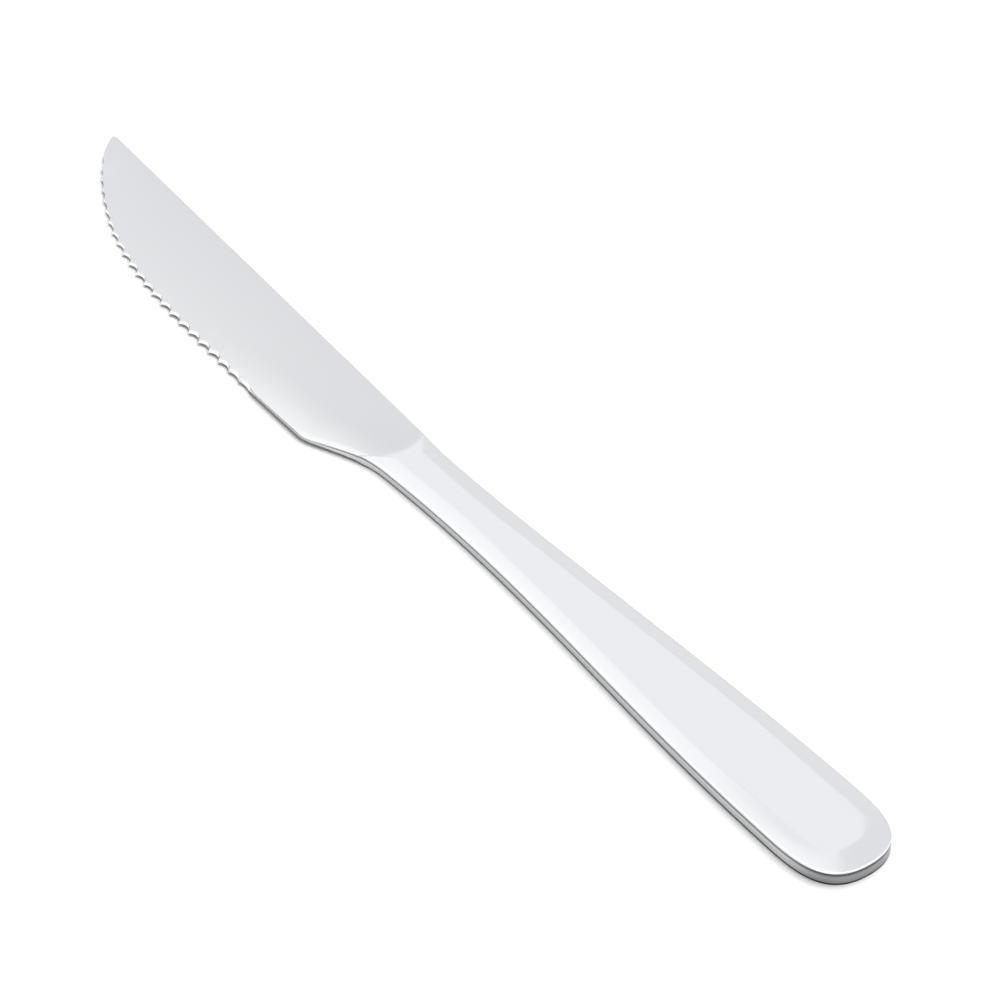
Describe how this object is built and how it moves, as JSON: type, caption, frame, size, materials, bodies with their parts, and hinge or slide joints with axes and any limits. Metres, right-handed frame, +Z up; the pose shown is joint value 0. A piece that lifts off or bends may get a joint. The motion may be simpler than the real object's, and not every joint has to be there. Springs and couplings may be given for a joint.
{
  "type": "steak knife",
  "caption": "One-piece stainless steel steak knife with a flat flared handle, a ground blade and a scalloped cutting edge.",
  "frame": {"origin": "under the middle of the knife's bounding box, on the surface that the knife lies on", "axes": "+X along the knife from the blade's point to the handle's round end, +Y towards the spine, +Z up, out of the upper face"},
  "size_m": [0.216, 0.0204, 0.0028],
  "materials": {
    "stainless_steel": "polished"
  },
  "bodies": {
    "root": {"knife": "stainless_steel"}
  },
  "joints": []
}
